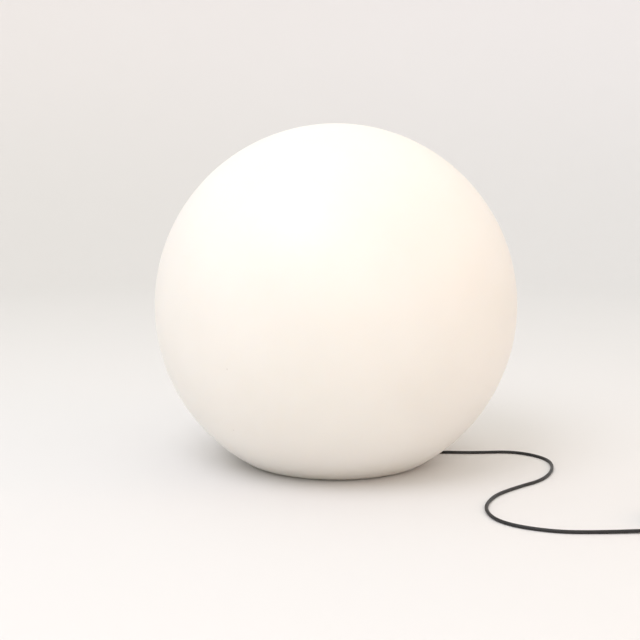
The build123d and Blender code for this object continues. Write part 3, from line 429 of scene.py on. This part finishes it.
finishLooks = {
    "globePolyethylene": {
        "effect": "grain",
        "marks": {"Fine Scale": 420.0, "Broad Scale": 7.0, "Fine Share": 0.25},
        "colour": (0.885, 0.855, 0.805),
        "shade": (0.905, 0.876, 0.828),
        "roughness": (0.4, 0.47),
        "depth": 0.0004,
        "bump": 0.12,
        "dust": {"Top": 0.06, "Scale": 30.0, "Strength": 0.22},
        "dustColour": (0.62, 0.56, 0.48),
        "spots": [  # x, y, z, radius
            (-0.2006, -0.3056, 0.2414, 0.0024),
            (-0.1959, -0.2393, 0.1129, 0.0024),
            (0.2930, 0.1710, 0.1652, 0.0020),
            (-0.1130, 0.3120, 0.1508, 0.0022),
        ],
        "spotStrength": 0.4,
        "spotColour": (0.42, 0.38, 0.33),
        "shader": {
            "IOR": 1.5,
            "Subsurface Weight": 0.25,
            "Subsurface Scale": 0.006,
            "Subsurface Radius": (1.0, 0.85, 0.7),
        },
    },
    "panPlastic": {
        "effect": "grain",
        "marks": {"Fine Scale": 1500.0, "Broad Scale": 40.0, "Fine Share": 0.8},
        "colour": (0.03, 0.03, 0.032),
        "shade": (0.045, 0.045, 0.046),
        "roughness": (0.5, 0.66),
        "depth": 0.0002,
        "dust": {"Top": 0.06, "Scale": 45.0, "Strength": 0.25},
        "dustColour": (0.28, 0.25, 0.21),
    },
    "gasketRubber": {
        "effect": "grain",
        "marks": {"Fine Scale": 2600.0, "Broad Scale": 60.0, "Fine Share": 0.9},
        "colour": (0.035, 0.035, 0.035),
        "shade": (0.055, 0.055, 0.054),
        "roughness": (0.75, 0.9),
        "depth": 0.0003,
    },
    "footRubber": {
        "effect": "grain",
        "marks": {"Fine Scale": 1800.0, "Broad Scale": 90.0, "Fine Share": 0.8},
        "colour": (0.07, 0.07, 0.07),
        "shade": (0.1, 0.098, 0.095),
        "roughness": (0.7, 0.85),
        "depth": 0.0002,
        "dust": {"Top": 0.004, "Scale": 300.0, "Strength": 0.8},
        "dustColour": (0.3, 0.27, 0.22),
    },
    "stainlessSteel": {
        "effect": "turned",
        "marks": {"Along": 3500.0, "Across": 300.0},
        "colour": (0.62, 0.61, 0.59),
        "shade": (0.52, 0.51, 0.49),
        "roughness": (0.22, 0.36),
        "depth": 0.00005,
        "shader": {"Metallic": 1.0},
    },
    "glandNylon": {
        "effect": "grain",
        "marks": {"Fine Scale": 2200.0, "Broad Scale": 120.0, "Fine Share": 0.7},
        "colour": (0.022, 0.022, 0.024),
        "shade": (0.034, 0.034, 0.035),
        "roughness": (0.38, 0.5),
        "depth": 0.0001,
    },
    "flexRubber": {
        "effect": "grain",
        "marks": {"Fine Scale": 1600.0, "Broad Scale": 55.0, "Fine Share": 0.6},
        "colour": (0.008, 0.0085, 0.01),
        "shade": (0.014, 0.0145, 0.016),
        "roughness": (0.4, 0.55),
        "depth": 0.00012,
        "dust": {"Top": 0.004, "Scale": 90.0, "Strength": 0.35},
        "dustColour": (0.12, 0.11, 0.1),
    },
    "brownInsulation": {
        "effect": "grain",
        "marks": {"Fine Scale": 3000.0, "Broad Scale": 150.0, "Fine Share": 0.6},
        "colour": (0.13, 0.045, 0.018),
        "shade": (0.17, 0.062, 0.026),
        "roughness": (0.35, 0.48),
        "depth": 0.00005,
    },
    "blueInsulation": {
        "effect": "grain",
        "marks": {"Fine Scale": 3000.0, "Broad Scale": 150.0, "Fine Share": 0.6},
        "colour": (0.02, 0.1, 0.38),
        "shade": (0.03, 0.13, 0.45),
        "roughness": (0.35, 0.48),
        "depth": 0.00005,
    },
    "blockPlastic": {
        "effect": "grain",
        "marks": {"Fine Scale": 2400.0, "Broad Scale": 90.0, "Fine Share": 0.6},
        "colour": (0.76, 0.755, 0.73),
        "shade": (0.8, 0.795, 0.775),
        "roughness": (0.4, 0.52),
        "depth": 0.00008,
        "shader": {"Subsurface Weight": 0.1, "Subsurface Scale": 0.002},
    },
    "turnedBrass": {
        "effect": "turned",
        "marks": {"Along": 5000.0, "Across": 250.0},
        "colour": (0.72, 0.5, 0.2),
        "shade": (0.55, 0.36, 0.14),
        "roughness": (0.22, 0.4),
        "depth": 0.00004,
        "shader": {"Metallic": 1.0},
    },
    "zincSteel": {
        "effect": "turned",
        "marks": {"Along": 3000.0, "Across": 500.0},
        "colour": (0.6, 0.6, 0.57),
        "shade": (0.48, 0.5, 0.46),
        "roughness": (0.3, 0.46),
        "depth": 0.00004,
        "shader": {"Metallic": 1.0},
    },
    "columnPlastic": {
        "effect": "grain",
        "marks": {"Fine Scale": 1300.0, "Broad Scale": 30.0, "Fine Share": 0.6},
        "colour": (0.8, 0.795, 0.775),
        "shade": (0.84, 0.835, 0.82),
        "roughness": (0.4, 0.52),
        "depth": 0.0001,
        "shader": {"Subsurface Weight": 0.1, "Subsurface Scale": 0.003},
    },
    "holderPlastic": {
        "effect": "grain",
        "marks": {"Fine Scale": 1900.0, "Broad Scale": 70.0, "Fine Share": 0.5},
        "colour": (0.74, 0.73, 0.7),
        "shade": (0.79, 0.78, 0.76),
        "roughness": (0.32, 0.44),
        "depth": 0.00008,
    },
    "holderCeramic": {
        "effect": "grain",
        "marks": {"Fine Scale": 3500.0, "Broad Scale": 160.0, "Fine Share": 0.8},
        "colour": (0.8, 0.78, 0.72),
        "shade": (0.86, 0.85, 0.81),
        "roughness": (0.62, 0.8),
        "depth": 0.0001,
    },
    "nickelBrass": {
        "effect": "turned",
        "marks": {"Along": 4200.0, "Across": 200.0},
        "colour": (0.7, 0.67, 0.58),
        "shade": (0.6, 0.56, 0.46),
        "roughness": (0.18, 0.34),
        "depth": 0.00003,
        "shader": {"Metallic": 1.0},
    },
    "plugPinNickel": {
        "effect": "turned",
        "marks": {"Along": 3600.0, "Across": 260.0},
        "turn": (90, 0, 0),
        "colour": (0.72, 0.7, 0.64),
        "shade": (0.6, 0.57, 0.5),
        "roughness": (0.18, 0.36),
        "depth": 0.00003,
        "shader": {"Metallic": 1.0},
    },
    "capAluminium": {
        "effect": "turned",
        "marks": {"Along": 4800.0, "Across": 180.0},
        "colour": (0.76, 0.76, 0.75),
        "shade": (0.66, 0.66, 0.65),
        "roughness": (0.2, 0.36),
        "depth": 0.00004,
        "shader": {"Metallic": 1.0},
    },
    "lampInsulator": {
        "effect": "grain",
        "marks": {"Fine Scale": 4000.0, "Broad Scale": 220.0, "Fine Share": 0.4},
        "colour": (0.02, 0.02, 0.024),
        "shade": (0.035, 0.034, 0.036),
        "roughness": (0.14, 0.26),
        "depth": 0.00004,
    },
    "lampHousing": {
        "effect": "grain",
        "marks": {"Fine Scale": 2200.0, "Broad Scale": 45.0, "Fine Share": 0.4},
        "colour": (0.85, 0.85, 0.835),
        "shade": (0.88, 0.88, 0.87),
        "roughness": (0.26, 0.36),
        "depth": 0.00006,
    },
    "lampDome": {
        "effect": "grain",
        "marks": {"Fine Scale": 3000.0, "Broad Scale": 30.0, "Fine Share": 0.5},
        "colour": (0.9, 0.895, 0.875),
        "shade": (0.925, 0.92, 0.905),
        "roughness": (0.36, 0.46),
        "depth": 0.00006,
        "shader": {
            "Subsurface Weight": 0.6,
            "Subsurface Scale": 0.004,
            "Subsurface Radius": (1.0, 0.9, 0.8),
        },
    },
    "boardWhite": {
        "effect": "turned",
        "marks": {"Along": 40.0, "Across": 320.0},
        "colour": (0.84, 0.84, 0.82),
        "shade": (0.78, 0.79, 0.77),
        "roughness": (0.3, 0.42),
        "depth": 0.00004,
    },
    "chipPhosphor": {
        "effect": "grain",
        "marks": {"Fine Scale": 6000.0, "Broad Scale": 400.0, "Fine Share": 0.7},
        "colour": (0.8, 0.62, 0.09),
        "shade": (0.88, 0.74, 0.2),
        "roughness": (0.22, 0.34),
        "depth": 0.00004,
    },
    "boardGreen": {
        "effect": "grain",
        "marks": {"Fine Scale": 1200.0, "Broad Scale": 260.0, "Fine Share": 0.3},
        "colour": (0.015, 0.13, 0.05),
        "shade": (0.03, 0.19, 0.08),
        "roughness": (0.24, 0.36),
        "depth": 0.00005,
    },
    "sleevedBlack": {
        "effect": "grain",
        "marks": {"Fine Scale": 2600.0, "Broad Scale": 200.0, "Fine Share": 0.5},
        "colour": (0.03, 0.03, 0.035),
        "shade": (0.045, 0.045, 0.05),
        "roughness": (0.26, 0.4),
        "depth": 0.00005,
    },
    "strapFabric": {
        "effect": "pile",
        "marks": {"Scale": 1400.0, "Rows": 260.0},
        # colour is painted shade in the pits between the loops; shade is the lighter colour of the loop
        # tops
        "colour": (0.012, 0.012, 0.013),
        "shade": (0.035, 0.035, 0.037),
        "roughness": (0.85, 0.95),
        "depth": 0.0006,
        "bump": 0.6,
        "shader": {"Sheen Weight": 0.25, "Sheen Roughness": 0.5},
    },
    "plugRubber": {
        "effect": "grain",
        "marks": {"Fine Scale": 1500.0, "Broad Scale": 70.0, "Fine Share": 0.7},
        "colour": (0.02, 0.02, 0.022),
        "shade": (0.033, 0.033, 0.034),
        "roughness": (0.45, 0.6),
        "depth": 0.00015,
    },
}
finishes = {name: makeFinish(name, look) for name, look in finishLooks.items()}
print("finishes made:", len(finishes))


finishOfNode = {
    "globePolyethylene": ["globe_shell", "globe_well"],
    "panPlastic": ["base_pan"],
    "gasketRubber": ["pan_gasket", "gland_washer", "gland_seal"],
    "footRubber": ["foot_pads"],
    "stainlessSteel": ["shell_screws", "shell_washers"],
    "glandNylon": ["gland_body", "gland_cap", "gland_locknut", "vent_plug"],
    "flexRubber": ["sheath_stub"],
    "brownInsulation": ["supply_core_brown", "lead_brown"],
    "blueInsulation": ["supply_core_blue", "lead_blue"],
    "blockPlastic": ["terminal_block"],
    "turnedBrass": ["shell_inserts", "terminal_tubes", "holder_terminals"],
    "zincSteel": ["terminal_screws", "block_screw", "column_screws", "holder_nipple", "nipple_nuts"],
    "columnPlastic": ["lamp_column"],
    "holderPlastic": ["holder_base", "holder_skirt"],
    "holderCeramic": ["holder_core"],
    "nickelBrass": ["centre_contact", "holder_sleeve", "bulb_tip"],
    "plugPinNickel": ["plug_pins"],
    "capAluminium": ["bulb_cap"],
    "lampInsulator": ["bulb_insulator"],
    "lampHousing": ["bulb_housing"],
    "lampDome": ["bulb_dome"],
    "boardWhite": ["led_board"],
    "chipPhosphor": ["led_chips"],
    "boardGreen": ["driver_board"],
    "sleevedBlack": ["driver_parts"],
    "strapFabric": ["coil_ties"],
    "plugRubber": ["plug_sleeve", "plug_body"],
}


def giveFinish(piece, name):
    piece.data.materials.clear()
    piece.data.materials.append(finishes[name])


for finish, names in finishOfNode.items():
    for name in names:
        if name in nodes:
            giveFinish(nodes[name], finish)
giveFinish(flexCord, "flexRubber")
print("finishes given to", sum(len(names) for names in finishOfNode.values()), "nodes")


# The straps round the coil.
strapSettings = {
    "angles": (60, 180, 300),
    "sideGap": 0.00169,  # from the flex to the strap
    "topGap": 0.00015,
    "corner": 0.003,
    "cornerSteps": 5,
    "width": 0.010,
    "thickness": 0.0011,
    "edge": 0.0003,
    "edgeSteps": 2,
    "tabFrom": 0.026,  # from the coil's middle
    "tabLength": 0.019,
    "tabSteps": (12, 4),
    "tabLift": 0.0022,  # of its free end
    "liftReach": 0.006,
    "tipWidth": 0.7,  # share of the width
    "tipReach": 0.002,
    "crispAngle": 40,
}


def coilSides(settings, flex):
    half = flex["diameter"] / 2
    inner = flex["coilInner"]
    outer = inner + flex["layerTurns"][0] * flex["coilStep"]
    low = flex["coilLow"]
    high = low + (len(flex["layerTurns"]) - 1) * flex["layerStep"]
    side = half + settings["sideGap"]
    top = half + settings["topGap"]
    return inner - side, outer + side, low - top, high + top


def makeStrapLoop(settings, flex):
    inner, outer, low, high = coilSides(settings, flex)
    size = (outer - inner, high - low)
    place = (inner + size[0] / 2, settings["width"] / 2, low + size[1] / 2)
    loop = startSection("strapLoop", size, place, settings["corner"], settings["cornerSteps"])
    bpy.ops.mesh.delete(type="ONLY_FACE")
    pickAllEdges()
    bpy.ops.mesh.extrude_edges_move(TRANSFORM_OT_translate={"value": (0, -settings["width"], 0)})
    bpy.ops.mesh.select_all(action="SELECT")
    bpy.ops.mesh.normals_make_consistent(inside=False)
    bpy.ops.object.mode_set(mode="OBJECT")
    return loop


def makeStrapTab(settings, flex):
    along, across = settings["tabSteps"]
    high = coilSides(settings, flex)[3]
    deselectAll()
    bpy.ops.mesh.primitive_grid_add(x_subdivisions=along, y_subdivisions=across, size=1)
    tab = startPiece("strapTab")
    tab.scale = (settings["tabLength"], settings["width"], 1)
    tab.location = (settings["tabFrom"] + settings["tabLength"] / 2, 0, high + settings["thickness"])
    bpy.ops.object.transform_apply(location=True, rotation=True, scale=True)
    editing(tab)
    lastRow = settings["tabFrom"] + settings["tabLength"] * (1 - 0.5 / along)
    pickPoints(tab, lambda p: p.x > lastRow)
    bpy.ops.transform.translate(
        value=(0, 0, settings["tabLift"]),
        use_proportional_edit=True,
        proportional_size=settings["liftReach"],
    )
    bpy.ops.transform.resize(
        value=(1, settings["tipWidth"], 1),
        use_proportional_edit=True,
        proportional_size=settings["tipReach"],
    )
    bpy.ops.object.mode_set(mode="OBJECT")
    return tab


def makeStraps(settings, flex):
    straps = []
    centreX, centreY = flex["coilCentre"]
    for angle in settings["angles"]:
        halves = [makeStrapLoop(settings, flex), makeStrapTab(settings, flex)]
        for half in halves:
            applyModifier(half, "SOLIDIFY", "cloth", thickness=settings["thickness"], offset=1)
            applyModifier(half, "BEVEL", "worn", width=settings["edge"], segments=settings["edgeSteps"])
        strap = joinPieces(halves)
        strap.rotation_euler = (0, 0, math.radians(angle))
        strap.location = (centreX, centreY, 0)
        straps.append(strap)
    whole = joinPieces(straps)
    whole.name = whole.data.name = "coilStraps"
    settlePiece(whole, settings["crispAngle"])
    return whole


coilStraps = makeStraps(strapSettings, flexSettings)
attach(coilStraps, "base")
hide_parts("coil_ties")
giveFinish(coilStraps, "strapFabric")
print("straps made")


# The plug's moulded body.
plugSettings = {
    "place": (0.6435, -0.316, 0.012),  # where the body meets its sleeve
    "width": 0.034,
    "height": 0.024,
    "corner": 0.0075,
    "cornerSteps": 7,
    "neck": [  # way along the plug, shares of its width and height
        (0.0, 0.58, 0.76),
        (0.004, 0.66, 0.8),
        (0.011, 0.84, 0.9),
        (0.018, 0.97, 0.985),
    ],
    "gripFrom": 0.021,
    "gripCount": 5,
    "gripStep": 0.003,
    "gripDepth": 0.0009,
    "gripFloor": (0.15, 0.45),  # shares of a step
    "gripEnd": 0.6,
    "faceFrom": 0.0425,  # the rounded rim of the front face starts here
    "length": 0.044,
    "rim": 0.0015,
    "rimSteps": 4,
    "faceInset": 0.0012,
    "faceDepth": 0.0004,
    "mergeWithin": 0.00001,
    "crispAngle": 50,
}


def plugSections(settings):
    sections = list(settings["neck"])
    narrow = 1 - 2 * settings["gripDepth"] / settings["width"]
    low = 1 - 2 * settings["gripDepth"] / settings["height"]
    step = settings["gripStep"]
    for i in range(settings["gripCount"]):
        start = settings["gripFrom"] + i * step
        floor = [(start + step * share, narrow, low) for share in settings["gripFloor"]]
        sections += [(start, 1, 1), *floor, (start + step * settings["gripEnd"], 1, 1)]
    rimWidth = 1 - 2 * settings["rim"] / settings["width"]
    rimHeight = 1 - 2 * settings["rim"] / settings["height"]
    sections.append((settings["faceFrom"], 1, 1))
    rimLength = settings["length"] - settings["faceFrom"]
    for i in range(1, settings["rimSteps"] + 1):
        turn = math.pi / 2 * i / settings["rimSteps"]
        shrink = 1 - math.cos(turn)
        along = settings["faceFrom"] + rimLength * math.sin(turn)
        sections.append((along, 1 - (1 - rimWidth) * shrink, 1 - (1 - rimHeight) * shrink))
    return sections


def makePlugBody(settings):
    size = (settings["width"], settings["height"])
    corner = settings["corner"]
    body = startSection("plugMoulding", size, settings["place"], corner, settings["cornerSteps"])
    sections = plugSections(settings)
    bpy.context.scene.tool_settings.transform_pivot_point = "MEDIAN_POINT"
    bpy.ops.transform.resize(value=(sections[0][1], 1, sections[0][2]))
    for before, after in zip(sections, sections[1:]):
        bpy.ops.mesh.extrude_region_move(TRANSFORM_OT_translate={"value": (0, after[0] - before[0], 0)})
        bpy.ops.transform.resize(value=(after[1] / before[1], 1, after[2] / before[2]))
    bpy.ops.mesh.inset(thickness=settings["faceInset"], depth=-settings["faceDepth"])
    bpy.ops.mesh.select_all(action="SELECT")
    bpy.ops.mesh.remove_doubles(threshold=settings["mergeWithin"])
    bpy.ops.mesh.normals_make_consistent(inside=False)
    settlePiece(body, settings["crispAngle"])
    return body


plugMoulding = makePlugBody(plugSettings)
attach(plugMoulding, "base")
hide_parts("plug_body")
giveFinish(plugMoulding, "plugRubber")
print("plug made")


# The studio: a pale floor that curves up all round, and soft light.
studioSettings = {
    "floorRadius": 4.2,
    "coveRadius": 2.4,
    "coveSteps": 14,
    "wallHeight": 0.8,
    "sides": 96,
    "crispAngle": 40,
    "floorColour": (0.78, 0.785, 0.79),
    "wallColour": (0.9, 0.888, 0.905),
    "marks": {"Fine Scale": 60.0, "Broad Scale": 1.5, "Fine Share": 0.5},
    "wear": 0.01,
    "wearColour": (0.5, 0.5, 0.5),
    "roughness": 0.9,
    "gloss": 0.1,
    "skyLeft": (1.0, 0.985, 0.98),  # as seen from the camera
    "skyRight": (0.95, 0.9, 0.79),
    "skyStrength": 1.06,
}
lightSettings = {
    "keyLight": {"place": (-1.3, -2.0, 3.6), "size": 2.4, "power": 50.0, "colour": (0.93, 0.91, 1.0)},
    "warmFill": {"place": (3.2, -0.9, 1.3), "size": 1.4, "power": 9.0, "colour": (1.0, 0.42, 0.14)},
    "lowFill": {"place": (0.3, -3.0, 0.75), "size": 0.8, "power": 4.5, "colour": (1.0, 0.7, 0.35)},
}
lightAim = (0.0, 0.0, 0.33)  # the middle of the globe


def makeFloor(settings):
    deselectAll()
    radius = settings["floorRadius"]
    bpy.ops.mesh.primitive_circle_add(vertices=settings["sides"], radius=radius, fill_type="NGON")
    floor = startPiece("studioFloor")
    editing(floor)
    pickAllEdges()
    steps = settings["coveSteps"]
    height = 0
    for i in range(1, steps + 1):
        angle = math.pi / 2 * i / steps
        wider = settings["floorRadius"] + settings["coveRadius"] * math.sin(angle)
        higher = settings["coveRadius"] * (1 - math.cos(angle))
        bpy.ops.mesh.extrude_edges_move(TRANSFORM_OT_translate={"value": (0, 0, higher - height)})
        bpy.ops.transform.resize(value=(wider / radius, wider / radius, 1))
        radius, height = wider, higher
    bpy.ops.mesh.extrude_edges_move(TRANSFORM_OT_translate={"value": (0, 0, settings["wallHeight"])})
    settlePiece(floor, settings["crispAngle"])
    return floor


def makeFloorFinish(settings):
    material = bpy.data.materials.new("studioPaint")
    material.use_nodes = True
    tree = material.node_tree
    shader = tree.nodes["Principled BSDF"]
    place = addNode(tree, "TexCoord").outputs["Object"]
    height = addNode(tree, "SeparateXYZ", {"Vector": place}).outputs["Z"]
    cove = {"Value": height, "From Max": settings["coveRadius"]}
    rise = addNode(tree, "MapRange", cove, interpolation_type="SMOOTHSTEP")
    paint = mixColours(tree, rise.outputs[0], settings["floorColour"], settings["wallColour"])
    grain = placeGroup(tree, "grain", {"Vector": place, **settings["marks"]})
    worn = addNode(tree, "Math", {0: grain["Tone"], 1: settings["wear"]}, operation="MULTIPLY")
    colour = mixColours(tree, worn.outputs[0], paint, settings["wearColour"])
    tree.links.new(colour, shader.inputs["Base Color"])
    shader.inputs["Roughness"].default_value = settings["roughness"]
    shader.inputs["Specular IOR Level"].default_value = settings["gloss"]
    return material


def addSoftLight(name, settings):
    data = bpy.data.lights.new(name, "AREA")
    data.shape = "DISK"
    data.size = settings["size"]
    data.energy = settings["power"]
    data.color = settings["colour"]
    light = bpy.data.objects.new(name, data)
    bpy.context.scene.collection.objects.link(light)
    light.location = settings["place"]
    way = Vector(lightAim) - light.location
    light.rotation_euler = way.to_track_quat("-Z", "Y").to_euler()


def lightStudio(settings, lights):
    world = bpy.data.worlds.new("studioSky")
    world.use_nodes = True
    tree = world.node_tree
    sky = tree.nodes["Background"]
    way = addNode(tree, "SeparateXYZ", {"Vector": addNode(tree, "TexCoord").outputs["Generated"]})
    side = addNode(tree, "MapRange", {"Value": way.outputs["X"], "From Min": -1.0, "From Max": 1.0})
    colour = mixColours(tree, side.outputs[0], settings["skyLeft"], settings["skyRight"])
    tree.links.new(colour, sky.inputs["Color"])
    sky.inputs["Strength"].default_value = settings["skyStrength"]
    bpy.context.scene.world = world
    for name, light in lights.items():
        addSoftLight(name, light)
    bpy.context.scene.view_settings.view_transform = "Standard"


studioFloor = makeFloor(studioSettings)
studioFloor.data.materials.append(makeFloorFinish(studioSettings))
lightStudio(studioSettings, lightSettings)
print("studio lit")
